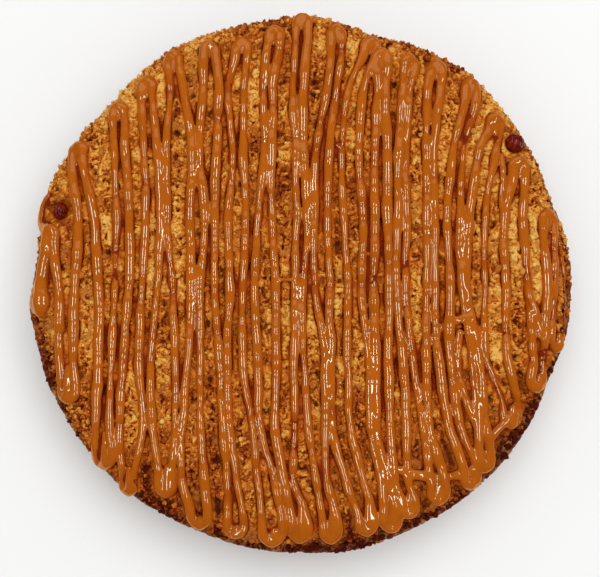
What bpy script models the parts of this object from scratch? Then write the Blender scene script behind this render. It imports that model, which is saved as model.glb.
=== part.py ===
"""A dutch apple pie out of its tin: a pastry case, a domed crumb topping with a caramel drizzle on it, and
two berries that show at the edge of the crumb. Metres, +Z up; the pie stands on z = 0 with its centre over
the origin."""

import math
import random

import bmesh
import bpy
import numpy as np
from mathutils import Matrix, Vector, noise
from mathutils.geometry import delaunay_2d_cdt

# Driving dimensions of the pie.
PIE_RADIUS = 0.1249  # of the rim, on average
BASE_RADIUS = 0.101  # of the flat underside
BED_HEIGHT = 0.033  # top of the pastry case, on which the crumb lies
RIM_RISE = 0.0036  # how far the pastry's lip stands above the bed
EDGE_HEIGHT = 0.0375  # top of the crumb at its outline
CROWN_HEIGHT = 0.0500  # top of the crumb at the centre, under its bumps
SHOULDER_POWER = 6.0  # a larger power keeps the top flat for longer
SHOULDER_DROP = 0.5  # a smaller power makes the last fall to the outline steeper
GAP = 0.0004  # between one piece and the next
SEED = 7

# Where the rim stands out (+) or in (-): direction in degrees, width in degrees, and height in metres.
RIM_BULGES = (
    (2, 11, 0.0015),
    (18, 6, -0.0015),
    (50, 9, 0.0018),
    (73, 8, -0.0026),
    (88, 5, 0.0022),
    (117, 8, 0.0009),
    (137, 11, -0.0023),
    (160, 6, 0.0010),
    (174, 7, -0.0017),
    (186, 5, 0.0018),
    (202, 7, 0.0010),
    (224, 12, 0.0007),
    (246, 9, -0.0007),
    (282, 7, 0.0014),
    (311, 15, 0.0005),
    (338, 5, -0.0013),
    (351, 6, 0.0009),
)
# Where more of the pastry's lip shows beyond the crumb: direction, width, and width of the lip that shows.
LEAST_LIP = 0.0012
LIP_SHOWS = (
    (0, 19, 0.0046),
    (37, 5, 0.0024),
    (198, 14, 0.0058),
    (240, 16, 0.0030),
    (282, 24, 0.0050),
    (323, 15, 0.0062),
)
LIP_STANDS_FROM = 0.0024  # a lip narrower than this hardly rises above the bed
LEAST_STANDING = 0.06  # and this share of its rise is left where the lip is narrowest
# The pastry's lip from its outer foot over its crest towards the bed, as (how far in from the rim in shares
# of the lip less its gap, how far above the bed in rises of the lip, how much it waves).
LIP_PROFILE = ((0.22, 0.85, 2), (0.50, 1.0, 2), (0.85, 0.7, 0))
WALL_INSET = 0.0016  # the wall's top lies this far inside the rim
WALL_DROP = 0.0045  # and this far below the bed
WALL_SHARES = (0.12, 0.38, 0.64, 0.86)  # heights of the wall's rings, as shares of its height
RIM_FOOT_INSET = 0.0003  # the rim bends inwards here
RIM_FOOT_DROP = 0.0024  # this far below the bed
BASE_BEVEL = 0.0015
PASTRY_RIPPLE = 0.0005
PASTRY_STEPS = 96

# The drizzle goes back and forth across the pie in one line. Each row is one swing of the bag, in
# millimetres: where the leg to the back crosses the stations, where it turns at the back, where the leg
# to the front crosses the stations, and where it turns at the front. None means that the leg doesn't reach
# that station.
STATIONS = (88, 59, 27, -6, -37, -69, -92)
START = (-121.5, -19)
SWINGS = (
    ((None, None, None, -118.5, None, None, None), (-117.5, 39.5),
     (None, None, -114.5, -109, -109.5, None, None), (-105.5, -57)),
    ((None, None, -102, -102.5, -103, None, None), (-103, 65),
     (None, None, -94.5, -91.5, -91.5, -92.5, None), (-89, -87)),
    ((None, -85.5, -84, -84, -85.5, -86, None), (-84, 83),
     (None, -80.5, -78, -78, -80, -81.5, None), (-78, -99)),
    ((None, -71.5, -71, -72, -73, -71, None), (-71, 95),
     (None, -65, -63.5, -65, -67.5, -66.5, None), (-60.5, -99.5)),
    ((-60, -61.5, -60.5, -58, -56.5, -56.5, None), (-59, 108.5),
     (-54, -49.5, -50.5, -49.5, -50.5, -53.5, -53), (-45.5, -114)),
    ((-45, -46.5, -43.5, -45.5, -45, -44.5, -43), (-42, 112),
     (-37.5, -38, -39, -38.5, -36.5, -34.5, -32.5), (-29, -118)),
    ((-33, -31, -33, -32, -33, -31.5, -28.5), (-27, 113),
     (-26, -26, -25, -26, -26, -21.5, -19), (-12.5, -121.5)),
    ((-17, -16, -19.5, -20.5, -19, -17.5, -11.5), (-12, 119),
     (-12.5, -13, -13, -11, -10.5, -11.5, -7), (0, -120)),
    ((-3.5, -2, -1.5, -2, -2.5, -2.5, -2.5), (1, 126),
     (1.5, 1.5, 3.5, 1, 1.5, 4, 7.5), (14, -120.5)),
    ((12.5, 7.5, 6.5, 7, 11.5, 11.5, 12.5), (17, 120),
     (17, 13.5, 12.5, 13.5, 14, 15, 20.5), (30, -116.5)),
    ((22.5, 19.5, 20, 21.5, 21.5, 23, 28.5), (33, 114),
     (29.5, 27, 29, 28, 31, 32, 36.5), (41, -115.5)),
    ((35.5, 34.5, 34, 33.5, 34, 34.5, 39), (38, 108),
     (39.5, 40, 40, 40.5, 40, 41, 42.5), (49, -109)),
    ((47.5, 45.5, 44.5, 44, 46.5, 48, 49), (51, 105.5),
     (51, 48.5, 49, 48, 51, 55.5, 59), (62.5, -103)),
    ((59, 58, 58, 57.5, 57, 59, 65.5), (63.5, 103),
     (65, 61.5, 61.5, 61.5, 62.5, 67.5, None), (77.5, -96.5)),
    ((None, 70.5, 67, 68.5, 68, 73, None), (79.5, 95),
     (None, 75.5, 73.5, 74, 78, 80.5, None), (84, -88.5)),
    ((None, 82.5, 77.5, 76, 81, 84, None), (90.5, 77.5),
     (None, 90.5, 84.5, 84, 84.5, None, None), (96, -68.5)),
    ((None, None, 93.5, 94, 94, None, None), (101, 57),
     (None, None, 102.5, 104, 106.5, None, None), (108, -52)),
    ((None, None, None, 113, 111, None, None), (114.5, 33),
     (None, None, None, 116.5, None, None, None), (118, -34)),
)
# Thin strings that the bag left across the swings, in millimetres.
STRINGS = (
    ((38, -85), (44, -87), (52, -89), (62, -90), (70, -89), (77, -87), (82, -84)),
    ((56, -33), (63, -24), (70, -20), (77, -19), (80, -26)),
    ((86, -70), (91, -68), (96, -65)),
)
STRAND_RADIUS = 0.0021  # of the drizzle between its turns
TURN_RADIUS = 0.0026  # at its turns, where the bag slows down
STRING_RADIUS = 0.0014
BACK_HALF_TURN = 0.0027  # from the middle of a turn at the back to the middle of either leg
FRONT_HALF_TURN = 0.0034  # and at the front
STRAND_STEP = 0.0115  # between two points along a strand
STRAND_STANDS = 0.40  # how far the middle of a strand lies above the dome, in radii
CREST_SIDE = 0.45  # the strand's two crest lines lie this far to either side of its middle, in radii
FOOT_SIDE = 1.08  # and its two foot lines this far
WANDER = 0.0007  # how far a leg strays from its line

# The crumb: round lumps of three sizes, as (how many, smallest radius, largest radius).
LUMPS = ((260, 0.0034, 0.0048), (900, 0.0022, 0.0034), (1500, 0.0014, 0.0022))
LUMP_SINKS = 0.42  # how far the middle of a lump lies below the dome, in radii
CRUMB_SPACING = 0.00250  # between the points that carry the crumb's relief
OUTLINE_POINTS = 126
OUTLINE_RAGGED = 0.0007  # how far the outline falls in between the lumps at the edge
OUTLINE_CALM = 0.02  # the bumps fade out over this share of the radius
SKIRT_HEIGHT = 0.0028  # of the crumb's upright edge above the bed
FOOT_SCALE = 0.996  # the underside is smaller than the outline by this factor
JITTER = 0.28  # of the points, in spacings
STRAND_MARGIN = 0.0012  # a strand's lines end this far inside the crumb's outline
STRAND_TUCK = 0.0004  # and its foot lines end farther out than its crest lines by about this
MERGE = 0.0003  # points closer than this become one

# The berries: direction, distance from the centre, height of the middle, and half sizes.
BERRIES = {
    "berry_right": (32.5, 0.1187, 0.0412, (0.0046, 0.0044, 0.0038)),
    "berry_left": (164.0, 0.1150, 0.0424, (0.0042, 0.0036, 0.0034)),
}
BERRY_WRINKLE = 0.0003

COLOURS = {
    "pastry": (0.23, 0.085, 0.030),
    "crumb": (0.42, 0.19, 0.055),
    "berry": (0.10, 0.008, 0.010),
}


def clear_scene():
    for old in list(bpy.data.objects):
        bpy.data.objects.remove(old, do_unlink=True)


def material(name, roughness):
    made = bpy.data.materials.new(name)
    made.use_nodes = True
    shader = made.node_tree.nodes["Principled BSDF"]
    shader.inputs["Base Color"].default_value = (*COLOURS[name], 1.0)
    shader.inputs["Roughness"].default_value = roughness
    shader.inputs["Metallic"].default_value = 0.0
    return made


def add_object(name, mesh_data, finish):
    """One object from a bmesh, with its normals pointing outwards."""
    bmesh.ops.recalc_face_normals(mesh_data, faces=mesh_data.faces)
    if mesh_data.calc_volume(signed=True) < 0:
        bmesh.ops.reverse_faces(mesh_data, faces=mesh_data.faces)
    mesh = bpy.data.meshes.new(name)
    mesh_data.to_mesh(mesh)
    mesh_data.free()
    mesh.shade_smooth()
    mesh.set_sharp_from_angle(angle=math.radians(40))
    mesh.materials.append(finish)
    made = bpy.data.objects.new(name, mesh)
    bpy.context.scene.collection.objects.link(made)
    return made


def bell(angle, centre, width):
    """1 in the direction centre, falling away over width degrees to either side. Angles are in radians."""
    apart = (np.degrees(angle) - centre + 180) % 360 - 180
    return np.exp(-((apart / width) ** 2))


def rim_radius(angle):
    return PIE_RADIUS + sum(height * bell(angle, centre, width) for centre, width, height in RIM_BULGES)


def lip_width(angle):
    """How much of the pastry shows beyond the crumb."""
    extra = [(shown - LEAST_LIP) * bell(angle, centre, width) for centre, width, shown in LIP_SHOWS]
    return LEAST_LIP + np.max(extra, axis=0)


def lip_rise(angle):
    """The lip stands up only where it isn't covered by crumb."""
    share = (lip_width(angle) - LEAST_LIP) / (LIP_STANDS_FROM - LEAST_LIP)
    return RIM_RISE * np.clip(share, LEAST_STANDING, 1.0)


def crumb_radius(angle):
    return rim_radius(angle) - lip_width(angle)


def dome_height(x, y):
    """The smooth dome under the crumb's bumps: flat in the middle, falling over its shoulder."""
    share = np.minimum(1.0, np.hypot(x, y) / crumb_radius(np.arctan2(y, x)))
    return EDGE_HEIGHT + (CROWN_HEIGHT - EDGE_HEIGHT) * (1 - share**SHOULDER_POWER) ** SHOULDER_DROP


def loft(mesh_data, rings):
    """Quads between rings of equally many points, and a fan to the middle of the first and the last."""
    rows = [[mesh_data.verts.new(point) for point in ring] for ring in rings]
    count = len(rows[0])
    for lower, upper in zip(rows, rows[1:]):
        for step in range(count):
            after = (step + 1) % count
            mesh_data.faces.new((lower[step], lower[after], upper[after], upper[step]))
    for row, ring in ((rows[0], rings[0]), (rows[-1], rings[-1])):
        centre = mesh_data.verts.new((0, 0, ring[0][2]))
        for step in range(count):
            mesh_data.faces.new((row[step], row[(step + 1) % count], centre))


def pastry_case(finish):
    """The case with its filling, which isn't seen: a tapering disc with a lip round the bed of the crumb."""
    angle = np.arange(PASTRY_STEPS) * 2 * math.pi / PASTRY_STEPS
    rim, lip, rise = rim_radius(angle), lip_width(angle), lip_rise(angle)

    def wave(row):
        circle = [Vector((9 * math.cos(a), 9 * math.sin(a), 3.7 * row)) for a in angle]
        return PASTRY_RIPPLE * np.array([noise.noise(point) for point in circle])

    def ring(radius, height):
        radius, height = np.broadcast_arrays(radius, height, angle)[:2]
        return np.column_stack((radius * np.cos(angle), radius * np.sin(angle), height)).tolist()

    rings = [ring(BASE_RADIUS - BASE_BEVEL, 0.0), ring(BASE_RADIUS, BASE_BEVEL)]
    for row, share in enumerate(WALL_SHARES):
        radius = BASE_RADIUS + (rim - WALL_INSET - BASE_RADIUS) * share**0.9 + wave(row)
        rings.append(ring(radius, BASE_BEVEL + share * (BED_HEIGHT - WALL_DROP)))
    rings.append(ring(rim - RIM_FOOT_INSET, BED_HEIGHT - RIM_FOOT_DROP))
    rings.append(ring(rim, BED_HEIGHT - GAP + 0.25 * rise))
    standing = rise / RIM_RISE
    for row, (inwards, upwards, waves) in enumerate(LIP_PROFILE, len(WALL_SHARES) + 1):
        radius = rim - inwards * (lip - GAP)
        rings.append(ring(radius, BED_HEIGHT + upwards * rise + waves * wave(row) * standing))
    rings.append(ring(rim - lip + GAP, BED_HEIGHT))
    mesh_data = bmesh.new()
    loft(mesh_data, rings)
    return add_object("pastry_case", mesh_data, finish)


def curve_through(knots, values, at):
    """A smooth curve through the values at the knots, which rise: cubic, with slopes from its neighbours."""
    knots, values = np.array(knots, float), np.array(values, float)
    slope = np.zeros(len(knots))
    slope[1:-1] = (values[2:] - values[:-2]) / (knots[2:] - knots[:-2])
    k = np.clip(np.searchsorted(knots, at) - 1, 0, len(knots) - 2)
    span = knots[k + 1] - knots[k]
    t = (at - knots[k]) / span
    ends = (2 * t**3 - 3 * t**2 + 1) * values[k] + (3 * t**2 - 2 * t**3) * values[k + 1]
    return ends + (t**3 - 2 * t**2 + t) * span * slope[k] + (t**3 - t**2) * span * slope[k + 1]


def leg_line(start, crossings, end, draw):
    """One pass of the bag as points in the plane, with the second half of one turn and the first half of the
    next. The turns are given by their outermost points."""
    start, end = np.array(start) / 1000, np.array(end) / 1000
    heading = np.sign(end[1] - start[1])
    half_turns = (FRONT_HALF_TURN, BACK_HALF_TURN)
    if heading < 0:
        half_turns = (BACK_HALF_TURN, FRONT_HALF_TURN)
    inwards = np.array((0, heading * TURN_RADIUS))
    start, end = start + inwards, end - inwards
    leg_start = start + half_turns[0] * np.array((1, heading))
    leg_end = end - half_turns[1] * np.array((1, heading))
    steps = max(3, round(abs(leg_end[1] - leg_start[1]) / STRAND_STEP))
    share = np.linspace(0, 1, steps + 1)
    y = leg_start[1] + (leg_end[1] - leg_start[1]) * share
    knots = [(leg_start[1], leg_start[0]), (leg_end[1], leg_end[0])]
    knots += [(row / 1000, x / 1000) for row, x in zip(STATIONS, crossings) if x is not None]
    knots.sort()
    x = curve_through([knot[0] for knot in knots], [knot[1] for knot in knots], y)
    wavelength, phase = draw.uniform(0.045, 0.080), draw.uniform(0, 2 * math.pi)
    x += WANDER * np.sin(math.pi * share) * np.sin(2 * math.pi * y / wavelength + phase)
    corner = math.sqrt(0.5)
    first = start + half_turns[0] * np.array((corner, heading * (1 - corner)))
    last = end - half_turns[1] * np.array((corner, heading * (1 - corner)))
    return np.vstack((start, first, np.column_stack((x, y)), last, end))


def drizzle():
    """Every pass of the bag as (points, radius at each point). They stay inside the outline of the crumb."""
    draw = random.Random(SEED)
    strands = []
    turn = START
    for going, back, returning, front in SWINGS:
        strands.append(leg_line(turn, going, back, draw))
        strands.append(leg_line(back, returning, front, draw))
        turn = front
    passes = []
    for line in strands:
        share = np.linspace(-1, 1, len(line))
        thick = STRAND_RADIUS + (TURN_RADIUS - STRAND_RADIUS) * share**4
        thick = thick * np.array([draw.uniform(0.90, 1.10) for _ in line])
        passes.append((line, thick))
    for string in STRINGS:
        line = np.array(string) / 1000
        passes.append((line, np.full(len(line), STRING_RADIUS)))
    return passes


def beside(line, distance):
    """The same line moved to its right by a distance that may differ from point to point."""
    along = np.gradient(line, axis=0)
    along /= np.linalg.norm(along, axis=1)[:, None]
    right = np.column_stack((along[:, 1], -along[:, 0]))
    return line + right * np.reshape(distance, (-1, 1))


def kept_inside(points, margin):
    """Points that lie beyond the crumb's outline, less the margin, are moved in to it."""
    limit = crumb_radius(np.arctan2(points[:, 1], points[:, 0])) - margin
    return points * np.minimum(1, limit / np.linalg.norm(points, axis=1))[:, None]


def lump_table():
    """Middles and radii of the crumb's lumps, strewn evenly over the disc."""
    draw = np.random.default_rng(SEED)
    rows = []
    for count, smallest, largest in LUMPS:
        distance = PIE_RADIUS * np.sqrt(draw.random(count))
        angle = 2 * math.pi * draw.random(count)
        radius = draw.uniform(smallest, largest, count)
        rows.append(np.column_stack((distance * np.cos(angle), distance * np.sin(angle), radius)))
    return np.vstack(rows)


def lump_height(points, lumps):
    """How far the highest lump stands above the dome at each point, and never below it."""
    apart = np.linalg.norm(points[:, None, :] - lumps[None, :, :2], axis=2)
    radius = lumps[None, :, 2]
    top = np.sqrt(np.maximum(radius**2 - apart**2, 0)) - LUMP_SINKS * radius
    return np.maximum(top, 0).max(axis=1)


def strand_height(points, passes):
    """How far the highest strand stands above the dome at each point: the top half of a round tube."""
    height = np.zeros(len(points))
    for line, radius in passes:
        for start, end, start_radius, end_radius in zip(line, line[1:], radius, radius[1:]):
            span = end - start
            share = np.clip((points - start) @ span / (span @ span), 0, 1)
            apart = np.linalg.norm(points - start - share[:, None] * span, axis=1)
            thick = start_radius + (end_radius - start_radius) * share
            top = np.sqrt(np.maximum(thick**2 - apart**2, 0)) + STRAND_STANDS * thick
            height = np.maximum(height, np.where(apart < thick, top, 0))
    return height


def relief_points(passes):
    """Points in the plane to carry the relief, with the edges that must be kept: the outline, and the crests
    and feet of the strands. Between the strands, the points are a jittered grid."""
    draw = np.random.default_rng(SEED + 1)
    angle = np.arange(OUTLINE_POINTS) * 2 * math.pi / OUTLINE_POINTS
    radius = crumb_radius(angle) - OUTLINE_RAGGED * draw.random(OUTLINE_POINTS)
    blocks = [np.column_stack((radius * np.cos(angle), radius * np.sin(angle)))]
    edges = []
    total = OUTLINE_POINTS
    for line, thick in passes:
        for side in (-FOOT_SIDE, -CREST_SIDE, CREST_SIDE, FOOT_SIDE):
            margin = OUTLINE_RAGGED + STRAND_MARGIN - STRAND_TUCK * abs(side)
            block = kept_inside(beside(line, side * thick), margin)
            edges += [(total + step, total + step + 1) for step in range(len(block) - 1)]
            blocks.append(block)
            total += len(block)
    row_step = CRUMB_SPACING * math.sqrt(0.75)
    rows = np.arange(-PIE_RADIUS, PIE_RADIUS, row_step)
    columns = np.arange(-PIE_RADIUS, PIE_RADIUS, CRUMB_SPACING)
    x, y = np.meshgrid(columns, rows)
    x = x + 0.5 * CRUMB_SPACING * (np.arange(len(rows)) % 2)[:, None]
    grid = np.column_stack((x.ravel(), y.ravel()))
    grid += draw.uniform(-JITTER, JITTER, grid.shape) * CRUMB_SPACING
    limit = crumb_radius(np.arctan2(grid[:, 1], grid[:, 0])) - 0.6 * CRUMB_SPACING
    inside = np.linalg.norm(grid, axis=1) < limit
    grid = grid[inside]
    wider = [(line, thick * FOOT_SIDE + 0.35 * CRUMB_SPACING) for line, thick in passes]
    blocks.append(grid[strand_height(grid, wider) == 0])
    return np.vstack(blocks), edges


def crumb_topping(finish):
    """The crumb with its lumps, and the drizzle fused to it: one skin over a flat underside."""
    passes = drizzle()
    points, edges = relief_points(passes)
    outline = list(range(OUTLINE_POINTS))
    corners = [Vector(point) for point in points.tolist()]
    flat, _, faces, _, _, _ = delaunay_2d_cdt(corners, edges, [outline], 1, MERGE)
    plane = np.array([(point.x, point.y) for point in flat])
    bump = np.maximum(lump_height(plane, lump_table()), strand_height(plane, passes))
    from_edge = 1 - np.linalg.norm(plane, axis=1) / crumb_radius(np.arctan2(plane[:, 1], plane[:, 0]))
    height = dome_height(plane[:, 0], plane[:, 1]) + bump * np.clip(from_edge / OUTLINE_CALM, 0.2, 1)
    mesh_data = bmesh.new()
    top = [mesh_data.verts.new((x, y, z)) for (x, y), z in zip(plane.tolist(), height.tolist())]
    for face in faces:
        mesh_data.faces.new([top[corner] for corner in face])
    rim = [edge for edge in mesh_data.edges if edge.is_boundary]
    for level, scale in ((BED_HEIGHT + SKIRT_HEIGHT, 1.0), (BED_HEIGHT + GAP, FOOT_SCALE)):
        grown = bmesh.ops.extrude_edge_only(mesh_data, edges=rim)["geom"]
        for point in (item for item in grown if isinstance(item, bmesh.types.BMVert)):
            point.co = Vector((point.co.x * scale, point.co.y * scale, level))
        rim = [item for item in grown if isinstance(item, bmesh.types.BMEdge) and item.is_boundary]
    middle = mesh_data.verts.new((0, 0, BED_HEIGHT + GAP))
    for edge in rim:
        mesh_data.faces.new((*edge.verts, middle))
    return add_object("crumb_topping", mesh_data, finish)


def berry(name, finish, extra=0.0):
    """A slightly shrivelled ball at the edge of the crumb, larger all round by extra."""
    direction, distance, height, half_sizes = BERRIES[name]
    mesh_data = bmesh.new()
    bmesh.ops.create_icosphere(mesh_data, subdivisions=3, radius=1.0)
    turn = Matrix.Rotation(math.radians(direction + 90), 3, "Z")
    angle = math.radians(direction)
    middle = Vector((distance * math.cos(angle), distance * math.sin(angle), height))
    for point in mesh_data.verts:
        outward = point.co.normalized()
        wrinkle = BERRY_WRINKLE * noise.noise(3.1 * outward + Vector((direction, 0, 0)))
        sized = Vector([outward[k] * (half_sizes[k] + extra + wrinkle) for k in range(3)])
        point.co = turn @ sized + middle
    return add_object(name, mesh_data, finish)


def cut_pocket(body, cutter):
    """The cutter's shape taken out of the body, and the cutter removed."""
    change = body.modifiers.new("pocket", "BOOLEAN")
    change.operation = "DIFFERENCE"
    change.object = cutter
    change.solver = "EXACT"
    cut = bpy.data.meshes.new_from_object(body.evaluated_get(bpy.context.evaluated_depsgraph_get()))
    body.modifiers.clear()
    body.data = cut
    bpy.data.objects.remove(cutter, do_unlink=True)


def main():
    clear_scene()
    pastry_case(material("pastry", 0.75))
    crumb = material("crumb", 0.85)
    topping = crumb_topping(crumb)
    fruit = material("berry", 0.2)
    for name in BERRIES:
        cut_pocket(topping, berry(name, crumb, GAP))
        berry(name, fruit)


if __name__ == "__main__":
    main()
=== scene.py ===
import math
import bpy
import numpy as np
from mathutils import Matrix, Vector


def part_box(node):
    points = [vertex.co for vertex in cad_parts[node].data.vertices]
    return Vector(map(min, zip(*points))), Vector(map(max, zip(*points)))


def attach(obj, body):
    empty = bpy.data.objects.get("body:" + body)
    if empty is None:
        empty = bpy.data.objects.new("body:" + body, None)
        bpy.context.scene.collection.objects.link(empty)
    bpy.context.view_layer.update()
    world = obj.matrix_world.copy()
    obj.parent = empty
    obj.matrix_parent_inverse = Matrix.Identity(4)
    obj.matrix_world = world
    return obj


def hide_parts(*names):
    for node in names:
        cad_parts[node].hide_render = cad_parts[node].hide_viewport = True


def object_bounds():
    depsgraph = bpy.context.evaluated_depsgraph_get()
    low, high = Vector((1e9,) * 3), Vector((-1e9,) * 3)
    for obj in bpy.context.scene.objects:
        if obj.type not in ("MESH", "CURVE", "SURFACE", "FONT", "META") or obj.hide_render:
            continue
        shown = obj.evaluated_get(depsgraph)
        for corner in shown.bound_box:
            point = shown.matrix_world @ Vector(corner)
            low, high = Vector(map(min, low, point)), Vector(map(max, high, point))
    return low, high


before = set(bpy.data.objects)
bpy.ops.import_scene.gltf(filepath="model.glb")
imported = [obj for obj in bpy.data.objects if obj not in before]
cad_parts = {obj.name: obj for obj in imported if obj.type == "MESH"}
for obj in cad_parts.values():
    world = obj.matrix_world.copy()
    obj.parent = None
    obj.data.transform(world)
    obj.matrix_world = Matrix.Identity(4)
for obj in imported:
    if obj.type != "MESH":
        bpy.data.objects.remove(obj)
cadLow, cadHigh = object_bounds()
print("frame loaded, CAD box", [round(v, 4) for v in (*cadLow, *cadHigh)])

# A dutch apple pie seen from almost straight above: pastry case, streusel crumb, caramel drizzle, two berries.
# Lengths are in metres. Shapes are worked out as whole arrays.

pie = dict(
    rim=0.1249,            # mean radius of the rim
    base=0.101,            # radius of the flat underside
    bed=0.033,             # top of the pastry, on which the crumb lies
    lipRise=0.0036,        # how far the lip stands above that
    edge=0.0375,           # the crumb's height at its outline
    crown=0.0492,          # and in its middle
    shoulderPower=6.0,     # how flat it is in the middle, and how steeply it falls at the outline
    shoulderDrop=0.5,
    # direction in degrees, width in degrees, height
    bulges=((2, 11, 0.0015), (18, 6, -0.0015), (50, 9, 0.0018), (73, 8, -0.0026), (88, 5, 0.0022),
            (117, 8, 0.0009), (137, 11, -0.0023), (160, 6, 0.0010), (174, 7, -0.0017), (186, 5, 0.0018),
            (202, 7, 0.0010), (224, 12, 0.0007), (246, 9, -0.0007), (282, 7, 0.0014), (311, 15, 0.0005),
            (338, 5, -0.0013), (351, 6, 0.0009)),
    lipLeast=0.0012,
    # direction, width, how much of the lip shows there
    lipShows=((0, 19, 0.0046), (37, 5, 0.0024), (198, 14, 0.0058), (240, 16, 0.0030), (282, 24, 0.0050),
              (323, 15, 0.0062)),
    lipStandsFrom=0.0024,
    # where the caramel has run down over the lip and pressed it flat: direction and width
    lipPressed=((184, 6), (166, 4)),
)

berries = dict(
    nodes=("berry_left", "berry_right"),
    dent=0.0045,           # depth and width of the dent in which a berry lies
    dentWidth=0.0050,
    reach=0.0058,          # how far it stains the crumb and keeps loose crumbs away, and how strongly it stains
    stainAndShade=0.62,
    # height, cell, step of the seed and layers of each order of folds, for a ball of radius 1
    folds=((0.13, 0.75, 0, 3), (0.10, 0.42, 7, 1)),
)


def hashDraw(seed, *cells):
    # one even draw in 0..1 for each lattice cell: its numbers times odd primes, folded together and shuffled
    word = np.uint64(0xFFFFFFFF)
    mixed = np.full(np.shape(cells[0]), (seed * 2654435761) & 0xFFFFFFFF, np.uint64)
    for cell, prime in zip(cells, (73856093, 19349663, 83492791)):
        mixed ^= (cell.astype(np.int64) * prime).astype(np.uint64) & word
    for shift, prime in ((16, 2246822519), (13, 3266489917)):
        mixed = (mixed ^ (mixed >> np.uint64(shift))) * np.uint64(prime) & word
    return (mixed ^ (mixed >> np.uint64(16))) / 4294967295.0


def softNoise(points, cell, seed):
    # value noise in -1..1: a draw at each corner of the cell, blended with a smooth step along each axis
    at = np.asarray(points) / cell
    low = np.floor(at).astype(np.int64)
    t = at - low
    t = t * t * (3 - 2 * t)
    total = 0.0
    for pick in np.ndindex(*(2,) * at.shape[-1]):
        weight = np.prod([t[..., k] if up else 1 - t[..., k] for k, up in enumerate(pick)], axis=0)
        total = total + weight * hashDraw(seed, *(low[..., k] + up for k, up in enumerate(pick)))
    return total * 2 - 1


def layeredNoise(points, cell, seed, layers=3):
    # each layer has half the cell and half the height of the one before
    return sum(softNoise(points, cell / 2**k, seed + k) / 2**k for k in range(layers))


def noiseSum(points, rows):
    # the sum of some noises; each row holds a reach, a cell and a seed
    return sum(reach * softNoise(points, cell, seed) for reach, cell, seed in rows)


def cellsAround(x, y, cell, seed, jitter):
    # for each of the nine cells about a point: the square of the distance to the cell's jittered place, and a
    # function that gives the cell's further draws
    i, j = np.floor(x / cell), np.floor(y / cell)
    for di, dj in np.ndindex(3, 3):
        ci, cj = i + di - 1, j + dj - 1
        placeX = (ci + 0.5 + jitter * (hashDraw(seed, ci, cj) - 0.5)) * cell
        placeY = (cj + 0.5 + jitter * (hashDraw(seed + 1, ci, cj) - 0.5)) * cell
        yield (x - placeX) ** 2 + (y - placeY) ** 2, lambda k, ci=ci, cj=cj: hashDraw(seed + k, ci, cj)


def grainField(x, y, cell, seed, radius, rise):
    # round grains, one at a jittered place in each cell: the height is the highest of the spheres round a point.
    # Returns the height in cells, the highest grain's own draw, and how deep the point lies in a crease.
    best, second, owner = np.full(x.shape, -9.0), np.full(x.shape, -9.0), np.zeros(x.shape)
    for away, draw in cellsAround(x, y, cell, seed, 0.9):
        size = radius[0] + (radius[1] - radius[0]) * draw(2)
        fall = size**2 - away / cell**2
        top = rise * (draw(3) - 0.5) - 0.6 * size + np.where(fall > 0, np.sqrt(np.maximum(fall, 0)), fall)
        higher = top > best
        second = np.where(higher, best, np.maximum(second, top))
        owner = np.where(higher, draw(4), owner)
        best = np.where(higher, top, best)
    return best, owner, np.clip(1 - (best - second) / 0.25, 0, 1)


def holeField(x, y, cell, chance, width, seed):
    # exp(-(distance / width)^3) from the nearest hole's middle; a cell holds a hole by chance
    deepest = np.zeros(x.shape)
    for away, draw in cellsAround(x, y, cell, seed, 1.0):
        size = width[0] + (width[1] - width[0]) * draw(2)
        deepest = np.maximum(deepest, np.where(draw(3) < chance, np.exp(-(away / size**2) ** 1.5), 0))
    return deepest


def bell(angle, centre, width):
    # exp(-(apart / width)^2): 1 in the direction centre, falling away over width degrees to either side
    apart = (np.degrees(angle) - centre + 180) % 360 - 180
    return np.exp(-((apart / width) ** 2))


def rimRadius(angle):
    # the mean radius and a bell for each bulge
    return pie["rim"] + sum(height * bell(angle, centre, width) for centre, width, height in pie["bulges"])


def lipWidth(angle):
    # how much of the pastry shows beyond the crumb: the least width and the highest of the bells
    least = pie["lipLeast"]
    shows = [(shown - least) * bell(angle, centre, width) for centre, width, shown in pie["lipShows"]]
    return least + np.max(shows, axis=0)


def lipStands(angle):
    # 1 where the lip stands up, 0 where crumb covers it
    stands = np.clip((lipWidth(angle) - pie["lipLeast"]) / (pie["lipStandsFrom"] - pie["lipLeast"]), 0, 1)
    return stands * (1 - 0.85 * np.max([bell(angle, *place) for place in pie["lipPressed"]], axis=0))


def crumbRadius(angle):
    # the rim less what shows of the lip
    return rimRadius(angle) - lipWidth(angle)


def domeHeight(x, y):
    # flat in the middle, falling over its shoulder: edge + (crown - edge) (1 - share^power)^drop
    share = np.minimum(1, np.hypot(x, y) / crumbRadius(np.arctan2(y, x)))
    return pie["edge"] + (pie["crown"] - pie["edge"]) * (1 - share ** pie["shoulderPower"]) ** pie["shoulderDrop"]


def berryDistance(spots):
    # seen from above, how far each spot is from the nearer berry's middle
    middles = [np.mean(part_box(node), axis=0)[:2] for node in berries["nodes"]]
    return np.min([np.linalg.norm(spots - middle, axis=-1) for middle in middles], axis=0)


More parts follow.
